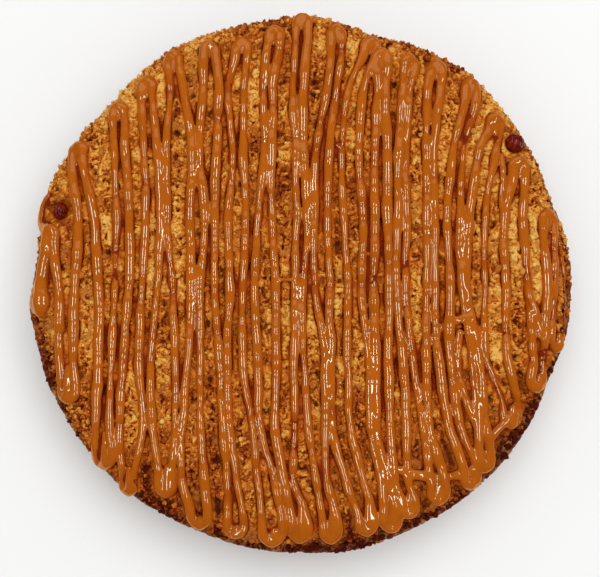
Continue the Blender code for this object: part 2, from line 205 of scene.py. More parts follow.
def makePiece(name, points, faces, material, replaces=(), values=None, flatFrom=None):
    # an object from arrays; faces is a list, as faces differ in width, and those from flatFrom on are shaded flat.
    # values holds one number for each point and name. Points are kept a hair inside the CAD box.
    hair = 0.00001
    points = np.clip(np.asarray(points, np.float32), np.array(cadLow) + hair, np.array(cadHigh) - hair)
    sizes = np.concatenate([np.full(len(part), part.shape[1], np.int32) for part in faces])
    loops = np.concatenate([part.ravel() for part in faces]).astype(np.int32)
    starts = np.concatenate(([0], np.cumsum(sizes)[:-1])).astype(np.int32)
    smooth = np.arange(len(sizes)) < (flatFrom or len(sizes))
    mesh = bpy.data.meshes.new(name)
    mesh.vertices.add(len(points))
    mesh.loops.add(len(loops))
    mesh.polygons.add(len(sizes))
    mesh.vertices.foreach_set("co", points.ravel())
    mesh.loops.foreach_set("vertex_index", loops)
    for label, numbers in ("loop_start", starts), ("loop_total", sizes), ("use_smooth", smooth):
        mesh.polygons.foreach_set(label, numbers)
    mesh.update(calc_edges=True)
    mesh.validate()
    for label, numbers in (values or {}).items():
        attribute = mesh.attributes.new(label, "FLOAT", "POINT")
        attribute.data.foreach_set("value", np.asarray(numbers, np.float32))
    mesh.materials.append(material)
    piece = bpy.data.objects.new(name, mesh)
    bpy.context.scene.collection.objects.link(piece)
    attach(piece, "root")
    if replaces:
        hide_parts(*replaces)
    print(name, len(points), "points", int((sizes - 2).sum()), "triangles")


def ringFaces(rows, columns):
    # quads between neighbouring rings of equally many points, ring after ring, running upwards on an outer wall
    row, column = np.meshgrid(np.arange(rows - 1), np.arange(columns), indexing="ij")
    after = (column + 1) % columns
    return np.stack((row * columns + column, row * columns + after, (row + 1) * columns + after,
                     (row + 1) * columns + column), -1).reshape(-1, 4)


def fanFaces(ring, centre, up):
    # triangles from a ring of point numbers to one centre, facing up or down
    after = np.roll(ring, -1)
    middle = np.full(len(ring), centre)
    return np.stack((ring, after, middle) if up else (after, ring, middle), -1)


def newMaterial(name):
    # a material with nodes, and its tree
    material = bpy.data.materials.new(name)
    material.use_nodes = True
    return material, material.node_tree


def feed(tree, socket, value):
    # a socket is linked to another node's output, or set to a number or a colour
    if isinstance(value, bpy.types.NodeSocket):
        tree.links.new(value, socket)
    else:
        socket.default_value = (*value, 1) if isinstance(value, tuple) else value


def addNode(tree, kind, output, inputs, **settings):
    # a node with its settings and inputs; returns one of its outputs
    node = tree.nodes.new("ShaderNode" + kind)
    for label, value in settings.items():
        setattr(node, label, value)
    for label, value in inputs.items():
        feed(tree, node.inputs[label], value)
    return node.outputs[output]


def textureNode(tree, kind, output, **inputs):
    # a texture over the object's own coordinates, its Scale in waves to the metre
    return addNode(tree, kind, output, {"Vector": addNode(tree, "TexCoord", "Object", {}), **inputs})


def noiseNode(tree, scale, detail=3.0, roughness=0.55):
    # noise in 0..1
    return textureNode(tree, "TexNoise", "Fac", Scale=scale, Detail=detail, Roughness=roughness)


def attributeNode(tree, name):
    # the number that each point of the mesh holds under the name
    return addNode(tree, "Attribute", "Fac", {}, attribute_name=name)


def rampNode(tree, value, stops):
    # a colour read from a scale of colours; stops are (place, linear colour)
    ramp = tree.nodes.new("ShaderNodeValToRGB")
    elements = ramp.color_ramp.elements
    for number, (place, colour) in enumerate(stops):
        element = elements[number] if number < 2 else elements.new(place)
        element.position = place
        element.color = (*colour, 1)
    feed(tree, ramp.inputs["Fac"], value)
    return ramp.outputs["Color"]


def mathNode(tree, operation, *terms):
    # one operation on two or three numbers or outputs
    return addNode(tree, "Math", 0, dict(enumerate(terms)), operation=operation)


def centred(tree, noise, reach):
    # a noise of 0..1 moved to -reach..reach
    return mathNode(tree, "MULTIPLY_ADD", noise, 2 * reach, -reach)


def mixNode(tree, blend, factor, a, b):
    # two colours blended by the factor
    return addNode(tree, "Mix", 2, {0: factor, 6: a, 7: b}, data_type="RGBA", blend_type=blend, clamp_factor=True)


def dressShader(tree, colour, look, height=None):
    # the surface's colour, roughness and shine, and a bump of bumpDepth metres where a height is given
    shader = tree.nodes["Principled BSDF"]
    feed(tree, shader.inputs["Base Color"], colour)
    feed(tree, shader.inputs["Roughness"], look["roughness"])
    feed(tree, shader.inputs["Specular IOR Level"], look["specular"])
    if height is not None:
        inputs = {"Strength": look["bumpStrength"], "Distance": look["bumpDepth"], "Height": height}
        feed(tree, shader.inputs["Normal"], addNode(tree, "Bump", "Normal", inputs))


crumbLook = dict(
    # linear colours from burnt to pale gold
    stops=((0.0, (0.065, 0.005, 0.0012)), (0.22, (0.20, 0.026, 0.0027)), (0.45, (0.40, 0.089, 0.0078)),
           (0.70, (0.61, 0.238, 0.027)), (1.0, (0.75, 0.43, 0.10))),
    moist=(0.38, 0.112, 0.019),
    # crumb that has taken up caramel, by how near the caramel is: orange, then dark red in narrow gaps; the dark
    # red is partly the caramel's stain, partly painted shade of the strands
    stainAndShade=((0.30, (0.52, 0.145, 0.009)), (0.48, (0.36, 0.060, 0.003)), (0.66, (0.17, 0.015, 0.001))),
    stainPower=1.5,        # how much of that shows: factor stainAndShade^power
    stainFactor=2.4,
    roughness=0.68,
    specular=0.04,
    cell=780,              # rough cells per metre, and how deep they are against the mottle
    cellDepth=0.35,
    patch=0.10,            # how far the coarse noise moves the tone, and how many waves it has per metre
    patchScale=260,
    mottle=0.66,
    mottleScale=1300,
    # how much the pit shade, partly browning and partly painted shade, darkens the crumb
    pitShadeDepth=0.28,
    bumpStrength=0.75,
    bumpDepth=0.0004,
)


def crumbMaterial(look):
    # colour = scale(tone + noises - pit shade), mixed with the moist crumb's colour, then with the caramel's stain
    # and the painted shade beside the strands
    material, tree = newMaterial("crumbBaked")
    tone, pitShade, moist, stainAndShade = (attributeNode(tree, label) for label in ("tone", "pitShade", "moist", "stainAndShade"))
    patches = noiseNode(tree, look["patchScale"], 3, 0.5)
    mottle = noiseNode(tree, look["mottleScale"], 4, 0.65)
    shade = mathNode(tree, "ADD", tone, centred(tree, patches, look["patch"]))
    shade = mathNode(tree, "ADD", shade, centred(tree, mottle, look["mottle"]))
    shade = mathNode(tree, "SUBTRACT", shade, mathNode(tree, "MULTIPLY", pitShade, look["pitShadeDepth"]))
    soaked = mathNode(tree, "MULTIPLY", moist, mathNode(tree, "SUBTRACT", 0.75, pitShade))
    colour = mixNode(tree, "MIX", soaked, rampNode(tree, shade, look["stops"]), look["moist"])
    stainAndShadeShare = mathNode(tree, "MULTIPLY", mathNode(tree, "POWER", stainAndShade, look["stainPower"]), look["stainFactor"])
    colour = mixNode(tree, "MIX", stainAndShadeShare, colour, rampNode(tree, stainAndShade, look["stainAndShade"]))
    cells = textureNode(tree, "TexVoronoi", "Distance", Scale=look["cell"])
    dressShader(tree, colour, look, mathNode(tree, "MULTIPLY_ADD", cells, -look["cellDepth"], mottle))
    return material


caramelLook = dict(
    colour=(0.43, 0.102, 0.0062),
    deep=(0.34, 0.062, 0.0030),    # where it is thin over the crumb, and in the folds between strands
    clouds=((0.3, (0.80, 0.76, 0.70)), (0.7, (1.0, 1.0, 1.0))),
    cloudScale=90,
    cloudShare=0.6,
    roughness=0.04,
    specular=0.9,
)


def caramelMaterial(look):
    # the colour goes to the deep one as the caramel gets thin, and is multiplied by slight clouds
    material, tree = newMaterial("caramelGlossy")
    colour = mixNode(tree, "MIX", attributeNode(tree, "thin"), look["colour"], look["deep"])
    clouds = rampNode(tree, noiseNode(tree, look["cloudScale"], 2), look["clouds"])
    dressShader(tree, mixNode(tree, "MULTIPLY", look["cloudShare"], colour, clouds), look)
    return material


pastryLook = dict(
    stops=((0.0, (0.055, 0.009, 0.005)), (0.35, (0.18, 0.038, 0.012)), (0.65, (0.34, 0.12, 0.030)),
           (1.0, (0.60, 0.31, 0.095))),
    mottle=0.25,           # how far the noise moves the tone, and how many waves it has per metre
    mottleScale=420,
    roughness=0.62,
    specular=0.15,
    bumpScale=900,
    bumpStrength=0.8,
    bumpDepth=0.0005,
)


def pastryMaterial(look):
    # colour = scale(tone + noise)
    material, tree = newMaterial("pastryBaked")
    moved = centred(tree, noiseNode(tree, look["mottleScale"], 4), look["mottle"])
    colour = rampNode(tree, mathNode(tree, "ADD", attributeNode(tree, "tone"), moved), look["stops"])
    dressShader(tree, colour, look, noiseNode(tree, look["bumpScale"], 4))
    return material


berryLook = dict(
    stops=((0.35, (0.040, 0.001, 0.001)), (0.65, (0.20, 0.009, 0.004))),
    cloudScale=500,
    roughness=0.16,
    specular=0.32,
    bumpScale=900,
    bumpStrength=0.5,
    bumpDepth=0.0003,
)


def berryMaterial(look):
    # colour = scale(noise)
    material, tree = newMaterial("berryCooked")
    colour = rampNode(tree, noiseNode(tree, look["cloudScale"], 3), look["stops"])
    dressShader(tree, colour, look, noiseNode(tree, look["bumpScale"], 2))
    return material


crumbRelief = dict(
    # for each order of bumps: cell in metres; height, sizes and differences in height in cells
    clump=(0.0088, 0.20, (0.55, 0.9), 0.8),
    lump=(0.0046, 0.14, (0.5, 0.85), 0.7),
    warp=((0.0018, 0.0052), (0.0006, 0.0019)),     # how far two noises move the bumps, and their cells
    # cell, chance, least and greatest width, depth
    hole=(0.0110, 0.55, (0.0010, 0.0022), 0.0026),
    pore=(0.0026, 0.50, (0.0004, 0.0008), 0.0009),
    sponge=0.0013,         # wavelength of the crumb's own roughness, and its height
    spongeHeight=0.00028,
    smooth=0.09,           # share of the clumps that are smooth and moist
    fade=0.025,            # the share of the radius over which the bumps fade towards the outline
    drop=0.0006,           # the bed lies this much lower than the dome, as the bumps stand up from it
    ragged=(0.0010, 0.0036),    # depth and cell of the outline's own raggedness
    seed=40,
)
crumbTone = dict(
    # how pale the crumb is: gold to the right and the back left, browner in the middle and at the front right
    base=0.57,
    clump=0.24,            # how far it differs from clump to clump, from lump to lump and with the roughness
    lump=0.12,
    sponge=0.30,
    hole=0.28,             # how much darker it is in holes, pores, hollows and sunk places: painted shade, partly browning in the holes and pores
    pore=0.20,
    hollowShade=0.08,
    slot=0.08,
    # how much darker loose crumbs are on the whole lip, where the lip stands, and which share of that goes at the
    # back, where they are paler by the last number
    lip=(0.06, 0.34, 0.75, 0.12),
    patches=((0.20, 0.021, 61), (0.15, 0.009, 62)),     # reach, cell and seed of each noise
    # reach, x and y of the place, half its width along each
    places=((0.16, 0.100, 0.010, 0.035, 0.055), (0.12, -0.085, 0.045, 0.040, 0.060),
            (-0.22, 0.080, -0.085, 0.045, 0.030), (-0.09, 0.0, 0.075, 0.055, 0.040)),
    front=(-0.08, -0.035, 0.05),        # reach, and y where it starts and over how much it grows
    # reach, share of the rim where it starts and over how much it grows, and over how much of y
    frontRim=(-0.24, 0.74, 0.16, 0.06),
)
crumbPitShade = dict(clump=0.60, lump=0.12, hole=0.6, pore=0.8, sponge=0.8, slot=0.35)    # partly browning, partly painted shade: how dark the creases, holes, pores, roughness and sunk slots make the crumb
# the caramel's stain on the crumb beside it, and painted shade in the narrow gaps and sunk slots there
crumbStainAndShade = dict(
    blur=0.0013,           # how far caramel stains the crumb beside it
    slotFrom=0.20,         # the stain from which on the crumb sinks in places, and over how much of it
    slotOver=0.22,
    slotCell=0.0078,
    slotStain=0.22,        # how much more stain and painted shade such a place gets, and how deep it sinks
    sink=0.0008,
)


def toneRegion(x, y):
    # base + noises + a bell at each place + growing shares towards the front and towards the front's rim
    look, spot = crumbTone, np.stack((x, y), -1)
    tone = look["base"] + noiseSum(spot, look["patches"])
    for reach, atX, atY, halfX, halfY in look["places"]:
        tone = tone + reach * np.exp(-(((x - atX) / halfX) ** 2 + ((y - atY) / halfY) ** 2))
    reach, start, over = look["front"]
    tone = tone + reach * np.clip((start - y) / over, 0, 1)
    reach, start, over, overY = look["frontRim"]
    share = np.hypot(x, y) / pie["rim"]
    return tone + reach * np.clip((share - start) / over, 0, 1) * np.clip(-y / overY, 0, 1)


def crumbSurface(x, y):
    # dome + clumps + lumps + granules - holes and pores. Returns height, tone, the pit shade (partly browning,
    # partly painted shade) and how moist the crumb is.
    look, seed = crumbRelief, crumbRelief["seed"]
    spot = np.stack((x, y), -1)
    (wide, wideCell), (narrow, narrowCell) = look["warp"]
    wx, wy = (at + wide * layeredNoise(spot, wideCell, own, 2) + narrow * softNoise(spot, narrowCell, own + 2)
              for at, own in ((x, 11), (y, 14)))
    clump, clumpOwner, clumpCrease = grainField(wx, wy, look["clump"][0], seed, *look["clump"][2:])
    lump, lumpOwner, lumpCrease = grainField(wx, wy, look["lump"][0], seed + 10, *look["lump"][2:])
    sponge = layeredNoise(np.stack((wx, wy), -1), look["sponge"], 51, 2)
    hole = holeField(wx, wy, *look["hole"][:3], seed + 30)
    pore = holeField(wx, wy, *look["pore"][:3], seed + 36)
    moist = np.clip((look["smooth"] - (clumpOwner * 7.31 + 0.5 * lumpOwner) % 1) / 0.05, 0, 1)
    moist = moist * (1 - 0.6 * clumpCrease)
    inner = (1 - np.hypot(x, y) / crumbRadius(np.arctan2(y, x))) / look["fade"]
    calm = np.clip(inner, 0.15, 1)
    fine = np.clip(inner, 0.6, 1) * (1 - 0.65 * moist)
    height = domeHeight(x, y) - look["drop"]
    height = height - berries["dent"] * np.exp(-((berryDistance(spot) / berries["dentWidth"]) ** 3))
    bumps = clump * look["clump"][0] * look["clump"][1] + lump * look["lump"][0] * look["lump"][1]
    height = height + calm * (bumps - look["hole"][3] * hole)
    height = height + fine * (look["spongeHeight"] * sponge - look["pore"][3] * pore)
    pale, dark = crumbTone, crumbPitShade
    tone = toneRegion(x, y) + pale["clump"] * (clumpOwner - 0.5) + pale["lump"] * (lumpOwner - 0.5)
    # painted shade, partly browning: the tone is darker in holes and pores
    tone = tone + pale["sponge"] * fine * sponge - pale["hole"] * hole - pale["pore"] * pore * (1 - moist)
    # pit shade, partly browning and partly painted shade: darker in the creases between clumps and lumps, in holes
    # and pores and in the roughness's dips
    pitShade = dark["clump"] * clumpCrease**2 + dark["lump"] * lumpCrease**2 + dark["hole"] * hole
    pitShade = pitShade + (1 - moist) * (dark["pore"] * pore + dark["sponge"] * np.clip(-sponge - 0.40, 0, 1))
    return height, tone, np.clip(pitShade, 0, 1), moist


def stainAndShadeAt(spots, covered):
    # the caramel's stain and painted shade, by how near it is: its outline from above, blurred, with more painted
    # shade where the crumb beside it has sunk; and 1 where it has sunk
    cover, xs, ys = covered
    look = crumbStainAndShade
    soft = blurred(cover, look["blur"] / (xs[1] - xs[0]), look["blur"] / (ys[1] - ys[0]))
    byBerry = berries["stainAndShade"] * np.exp(-((berryDistance(spots) / berries["reach"]) ** 3))
    stainAndShade = np.maximum(sampled(soft, xs, ys, spots), byBerry)
    slot = np.clip((stainAndShade - look["slotFrom"]) / look["slotOver"], 0, 1)
    slot = slot * np.clip(0.25 + 1.7 * softNoise(spots, look["slotCell"], 77), 0, 1)
    return stainAndShade + look["slotStain"] * slot, slot


def discGrid(count):
    # a square grid bent into a disc, equal area everywhere: the square's rings become circles
    side = np.linspace(-1, 1, count)
    a, b = np.meshgrid(side, side, indexing="ij")
    wide = np.abs(a) >= np.abs(b)
    reach = np.where(wide, a, b)
    with np.errstate(divide="ignore", invalid="ignore"):
        angle = np.where(wide, math.pi / 4 * b / a, math.pi / 2 - math.pi / 4 * a / b)
    angle = np.where(reach == 0, 0, angle)
    return np.abs(reach), np.arctan2(reach * np.sin(angle), reach * np.cos(angle))


def buildCrumbBed(material, covered, count=561, blocks=2, steps=5):
    # the disc's grid is cut into blocks, each closed by a wall of some steps down to the pastry and a flat bottom
    reach, angle = discGrid(count)
    depth, cell = crumbRelief["ragged"]
    outline = pie["rim"] * np.stack((np.cos(angle), np.sin(angle)), -1)
    radius = reach * (crumbRadius(angle) - depth * np.abs(layeredNoise(outline, cell, 63, 3)))
    x, y = radius * np.cos(angle), radius * np.sin(angle)
    height, tone, pitShade, moist = crumbSurface(x, y)
    stainAndShade, slot = stainAndShadeAt(np.stack((x, y), -1), covered)
    height = height - crumbStainAndShade["sink"] * slot
    # painted shade in hollows and sunk slots: a point is darker by how far it lies below the mean of its
    # surroundings, and in a slot
    hollowShade = np.clip((blurred(height, 3.0, 3.0) - height) / 0.0006, -0.4, 1)
    tone = tone - crumbTone["hollowShade"] * hollowShade - crumbTone["slot"] * slot
    # more painted pit shade in the sunk slots
    pitShade = np.clip(pitShade + crumbPitShade["slot"] * slot, 0, 1)
    grid = np.stack((x, y, height), -1)
    foot = pie["bed"] + 0.0004
    cuts = np.linspace(0, count - 1, blocks + 1).astype(int)
    for number, (bi, bj) in enumerate(np.ndindex(blocks, blocks)):
        own = (slice(cuts[bi], cuts[bi + 1] + 1), slice(cuts[bj], cuts[bj + 1] + 1))
        top = grid[own].reshape(-1, 3)
        index = np.arange(len(top)).reshape(grid[own].shape[:2])
        quads = np.stack((index[:-1, :-1], index[1:, :-1], index[1:, 1:], index[:-1, 1:]), -1).reshape(-1, 4)
        outline = np.concatenate((index[:-1, 0], index[-1, :-1], index[:0:-1, -1], index[0, :0:-1]))
        outer = (reach[own].ravel()[outline] > 0.9999).astype(float)
        rings = []
        for step in range(1, steps + 1):
            share = step / steps
            ring = top[outline].copy()
            lump = np.clip(layeredNoise(ring[:, :2] + 7 * share, 0.003, 71), -1, 1)
            ring[:, :2] *= (1 - 0.005 * outer * (1 - lump * math.sin(math.pi * share)))[:, None]
            ring[:, 2] += (foot - ring[:, 2]) * share
            rings.append(ring)
        points = np.concatenate([top] + rings + [[(*top[outline].mean(axis=0)[:2], foot)]])
        around = len(outline)
        walls = np.concatenate((outline, np.arange(len(top), len(points) - 1)))
        wallFaces = walls[ringFaces(steps + 1, around)[:, ::-1]]
        faces = [quads, wallFaces, fanFaces(walls[-around:], len(points) - 1, False)]
        values = {}
        for label, field in dict(tone=tone, pitShade=pitShade, moist=moist, stainAndShade=stainAndShade).items():
            flat = field[own].ravel()
            wall = flat[outline] - 0.05 * (label == "tone")
            values[label] = np.concatenate((flat, np.tile(wall, steps), [0.5]))
        name = "crumbBed" + "ABCD"[number]
        makePiece(name, points, faces, material, ["crumb_topping"], values, len(quads))


drizzle = dict(
    stations=(0.088, 0.059, 0.027, -0.006, -0.037, -0.069, -0.092),   # y of the places where a leg's x is given
    # each swing in millimetres: the leg to the back, its turn there, the leg to the front, and its turn there. A
    # leg is the number of the first station at which its x is given, and x there and at those that follow.
    swings=(
        ((), (-115.4, 25.5), (3, -110.6, -109.5), (-105.5, -57)),
        ((2, -102, -102.5, -103), (-103, 65), (2, -94.5, -91.5, -91.5, -92.5), (-89, -87)),
        ((1, -85.5, -84, -84, -85.5, -86), (-84, 83), (1, -80.5, -78, -78, -80, -81.5), (-78, -99)),
        ((1, -71.5, -71, -72, -73, -71), (-71, 95), (1, -65, -63.5, -65, -67.5, -66.5), (-60.5, -99.5)),
        ((0, -60, -61.5, -60.5, -58, -56.5, -56.5), (-59, 108.5),
         (0, -54, -49.5, -50.5, -49.5, -50.5, -53.5, -53), (-45.5, -114)),
        ((0, -45, -46.5, -43.5, -45.5, -45, -44.5, -43), (-42, 112),
         (0, -37.5, -38, -39, -38.5, -36.5, -34.5, -32.5), (-29, -118)),
        ((0, -33, -31, -33, -32, -33, -31.5, -28.5), (-27, 113),
         (0, -26, -26, -25, -26, -26, -21.5, -19), (-12.5, -121.5)),
        ((0, -17, -16, -19.5, -20.5, -19, -17.5, -11.5), (-12, 119),
         (0, -12.5, -13, -13, -11, -10.5, -11.5, -7), (0, -120)),
        ((0, -3.5, -2, -1.5, -2, -2.5, -2.5, -2.5), (1, 126), (0, 1.5, 1.5, 3.5, 1, 1.5, 4, 7.5), (14, -120.5)),
        ((0, 12.5, 7.5, 6.5, 7, 11.5, 11.5, 12.5), (17, 120),
         (0, 17, 13.5, 12.5, 13.5, 14, 15, 20.5), (30, -116.5)),
        ((0, 22.5, 19.5, 20, 21.5, 21.5, 23, 28.5), (33, 114), (0, 29.5, 27, 29, 28, 31, 32, 36.5), (41, -115.5)),
        ((0, 35.5, 34.5, 34, 33.5, 34, 34.5, 39), (38, 108), (0, 39.5, 40, 40, 40.5, 40, 41, 42.5), (49, -109)),
        ((0, 47.5, 45.5, 44.5, 44, 46.5, 48, 49), (51, 105.5), (0, 51, 48.5, 49, 48, 51, 55.5, 59), (62.5, -103)),
        ((0, 59, 58, 58, 57.5, 57, 59, 65.5), (63.5, 103), (0, 65, 61.5, 61.5, 61.5, 62.5, 67.5), (77.5, -96.5)),
        ((1, 70.5, 67, 68.5, 68, 73), (79.5, 95), (1, 75.5, 73.5, 74, 78, 80.5), (84, -88.5)),
        ((1, 82.5, 77.5, 76, 81, 84), (90.5, 77.5), (1, 90.5, 84.5, 84, 84.5), (96, -68.5)),
        ((2, 93.5, 94, 94), (101, 57), (2, 102.5, 104, 106.5), (108, -52)),
        ((3, 113, 111), (114.5, 33), (3, 116.5), (118, -34)),
    ),
    # the blob at the left edge where the bag began, and strands beside the swings, in millimetres: x, y and radius
    # of each point, and at the left how far it has run down over the edge
    extras=(
        ((-119.2, -14.5, 3.0, 0), (-118.6, -10.0, 4.0, 0), (-119.0, -4.5, 3.5, 0), (-118.6, 1.5, 3.0, 0),
         (-117.6, 8, 3.2, 0), (-116.2, 14.2, 3.6, 0), (-115.6, 20.7, 3.2, 0), (-115.8, 25, 2.0, 0)),
        ((-119.6, 1.5, 2.0, 0.8), (-120.8, -4.5, 2.8, 1.0), (-121.2, -9.5, 3.3, 1.0), (-120.8, -14.0, 2.6, 1.0)),
        ((-121.2, 0.5, 1.6, 1.6), (-122.6, -4.5, 2.1, 2.4), (-123.1, -9.5, 2.4, 2.6), (-122.4, -14.0, 2.0, 2.2)),
        ((-116.6, 21, 2.4, 0), (-118.4, 25, 2.7, 0.2), (-119.2, 30, 3.1, 0.3), (-118.6, 35, 2.8, 0.2),
         (-115.9, 39.5, 1.7, 0)),
        ((-119.4, 23, 1.6, 1.8), (-121.4, 28, 1.9, 2.4), (-121.3, 32, 1.9, 2.4), (-119.4, 37, 1.5, 1.8)),
        ((-113.2, 17, 2.6, 0), (-112.4, 8.6, 2.4, 0), (-111.1, 0.3, 2.0, 0), (-109.7, -9, 1.9, 0),
         (-108.9, -23, 1.8, 0)),
        ((37, -83.5, 1.2), (44, -86.5, 1.7), (52, -88.9, 2.1), (60, -89.8, 2.2), (68, -89.6, 2.1), (76, -87.6, 2.1),
         (82, -84.6, 1.9)),
        ((56, -33, 1.5), (63, -24, 1.6), (70, -20, 1.7), (77, -19, 1.7), (80.5, -24, 1.5), (82.5, -31, 1.4)),
        ((72.5, -25, 1.7), (71.4, -37, 1.8), (72.2, -45, 1.8), (74, -53, 1.9), (77, -60.5, 2.0), (81, -67.5, 2.1)),
        ((86, -73, 2.2), (90, -68.5, 1.9), (95, -64, 1.7), (100, -60.5, 1.7)),
        ((93, 57, 1.3), (93.2, 47, 1.4), (92.6, 38, 1.5), (93.4, 29, 1.6)),
        ((-11, -1, 0.8), (-3, -1, 0.8)),
        ((14, 63, 1.0), (17.5, 61, 1.0)),
        ((30.5, 11, 0.9), (34, 11, 0.9)),
        ((-20, -74, 1.4), (-16.5, -80, 1.5)),
        ((104.5, -8, 1.6), (108, -17, 1.7), (109.5, -26, 1.6)),
        ((119.5, 22, 0.9), (121.2, 8, 0.8), (122.4, -8, 0.7), (121.6, -22, 0.7)),
    ),
    backHalf=0.0027,       # from the middle of a turn at the back to either leg
    # and at the front, for each swing
    frontHalf=(0.0037, 0.0040, 0.0027, 0.0031, 0.0038, 0.0037, 0.0045, 0.0037, 0.0035, 0.0034, 0.0033, 0.0030,
               0.0035, 0.0033, 0.0030, 0.0038, 0.0030, 0.0030),
    # how far caramel has pooled between the legs above each turn at the front, in millimetres
    pools=(12, 12, 8, 9, 0.5, 0.5, 3, 14, 16, 11, 10, 9, 7, 6, 5, 5, 3, 4),
    # a pool starts this far from its turn and lies this far aside; its radius at both ends, and its lift in radii;
    # at the back its length is the first of two numbers and a random share of the second
    frontPool=dict(start=0.0044, aside=0.0009, thick=(0.0027, 0.0017), lift=0.15),
    backPool=dict(start=0.0050, aside=0.0, thick=(0.0020, 0.0010), lift=0.15, length=(0.002, 0.005)),
    legRadius=0.0020,
    turnRadius=0.0026,
    wander=0.0003,
    # reach, cell and seed of the noises by which a strand rises and sinks on its way over the lumps, by which its
    # radius varies, as a share of it, and by which its skin is pulled in and swells over the grains below
    wave=((0.00125, 0.0062, 98), (0.000625, 0.0130, 99)),
    uneven=((0.20, 0.019, 92), (0.14, 0.0075, 93)),
    ripples=((0.00024, 0.0056, 96), (0.00006, 0.0026, 97)),
    step=0.0013,
    lift=0.22,             # a strand's middle lies this far above the crumb, in radii
    follow=0.65,           # how closely it follows the crumb below it; the rest follows the mean of a wider place
    blurs=((0.0022, 0.0026), (0.0060, 0.0060)),    # how widely the crumb is smoothed for either, along x and y
    flat=1.30,             # strands are this much lower than they are wide
    melt=0.00045,          # how softly neighbouring strands flow together
    groups=(6, 12, 18),    # the caramel is made in pieces, each up to one of these swings
    # the lattice on which the surface is found: its steps along x, y and z, how far it goes from the middle, and
    # from how far below the ground to how far above it
    lattice=(0.00058, 0.00125, 0.00052),
    span=0.1262,
    layer=(-0.0021, 0.0052),
    far=0.02,              # the distance that stands for no caramel near
    seed=5,
)


def smoothCurve(knots, values, at):
    # a curve through the knots with each slope taken from its neighbours, and no slope at the ends
    knots, values = np.asarray(knots, float), np.asarray(values, float)
    slope = np.zeros(len(knots))
    slope[1:-1] = (values[2:] - values[:-2]) / (knots[2:] - knots[:-2])
    k = np.clip(np.searchsorted(knots, at) - 1, 0, len(knots) - 2)
    span = knots[k + 1] - knots[k]
    t = (at - knots[k]) / span
    return ((2 * t**3 - 3 * t**2 + 1) * values[k] + (t**3 - 2 * t**2 + t) * span * slope[k]
            + (3 * t**2 - 2 * t**3) * values[k + 1] + (t**3 - t**2) * span * slope[k + 1])


def walked(line):
    # the length walked to each point of a line
    return np.concatenate(([0], np.cumsum(np.linalg.norm(np.diff(line[:, :2], axis=0), axis=1))))


def resampled(line):
    # a smooth curve through the points, as x and y over the length walked, with a point every step
    walk = walked(line)
    at = np.linspace(0, walk[-1], max(4, int(walk[-1] / drizzle["step"])))
    return np.stack([smoothCurve(walk, column, at) for column in line.T], -1)


def oneDraw(seed, number):
    # one even draw in 0..1 for a number
    return hashDraw(seed, np.full(1, number))[0]


def legRoute(startTurn, endTurn, halves, leg, seed):
    # x as a curve over y, from beside one turn to beside the next, straying a little; then half of each turn
    start, end = np.array(startTurn) / 1000, np.array(endTurn) / 1000
    heading = np.sign(end[1] - start[1])
    start[1] += heading * drizzle["turnRadius"]
    end[1] -= heading * drizzle["turnRadius"]
    yStart, yEnd = start[1] + heading * halves[0], end[1] - heading * halves[1]
    knots = [(yStart, start[0] + halves[0]), (yEnd, end[0] - halves[1])]
    knots = sorted(knots + [(y, x / 1000) for y, x in zip(drizzle["stations"][leg[0]:], leg[1:])])
    y = np.linspace(yStart, yEnd, max(8, int(abs(yEnd - yStart) / drizzle["step"])))
    x = smoothCurve(*zip(*knots), y)
    fade = np.clip(np.minimum(np.abs(y - yStart), np.abs(y - yEnd)) / 0.012, 0, 1)
    along = np.stack((y, 0 * y), -1)
    x = x + fade * drizzle["wander"] * (softNoise(along, 0.015, seed) + 0.6 * softNoise(along, 0.0075, seed + 1))
    bend = np.linspace(0, math.pi / 2, 5)
    aside, ahead = np.sin(bend), heading * (1 - np.cos(bend))
    first = np.stack((start[0] + halves[0] * aside, start[1] + halves[0] * ahead), -1)
    last = np.stack((end[0] - halves[1] * aside, end[1] - halves[1] * ahead), -1)[::-1]
    return np.concatenate((first[:-1], np.stack((x, y), -1), last[1:]))


def drizzleStrands():
    # every strand as (x, y and how far it has run down at each point, radius at each, its swing): two legs for
    # each swing, wider near the turns, then the extras
    legs, strands = [], []
    fronts, backHalf = drizzle["frontHalf"], drizzle["backHalf"]
    for number, (going, back, returning, front) in enumerate(drizzle["swings"]):
        seed = drizzle["seed"] + 10 * number
        if number:
            halves = (fronts[number - 1], backHalf)
            legs.append((legRoute(drizzle["swings"][number - 1][3], back, halves, going, seed), number))
        legs.append((legRoute(back, front, (backHalf, fronts[number]), returning, seed + 3), number))
    for number, (line, swing) in enumerate(legs):
        walk = walked(line)
        along = np.stack((walk, np.full(len(walk), 0.05 * number)), -1)
        uneven = 0.24 * (oneDraw(91, number) - 0.5) + noiseSum(along, drizzle["uneven"])
        radius = drizzle["legRadius"] * (1 + uneven)
        nearTurn = np.clip(1 - np.minimum(walk, walk[-1] - walk) / 0.014, 0, 1)
        radius = radius + (drizzle["turnRadius"] - radius) * nearTurn**1.5
        strands.append((np.column_stack((line, 0 * walk)), radius, swing))
    middles = np.array([back[0] for _, back, _, _ in drizzle["swings"]])
    for extra in drizzle["extras"]:
        line = resampled(np.array(extra) / 1000)
        swing = int(np.argmin(np.abs(middles - 1000 * line[:, 0].mean())))
        radius = line[:, 2] * (1 + 0.12 * softNoise(line[:, :2], 0.006, 94))
        fallen = line[:, 3] if line.shape[1] > 3 else 0 * radius
        strands.append((np.column_stack((line[:, :2], fallen)), radius, swing))
    return strands


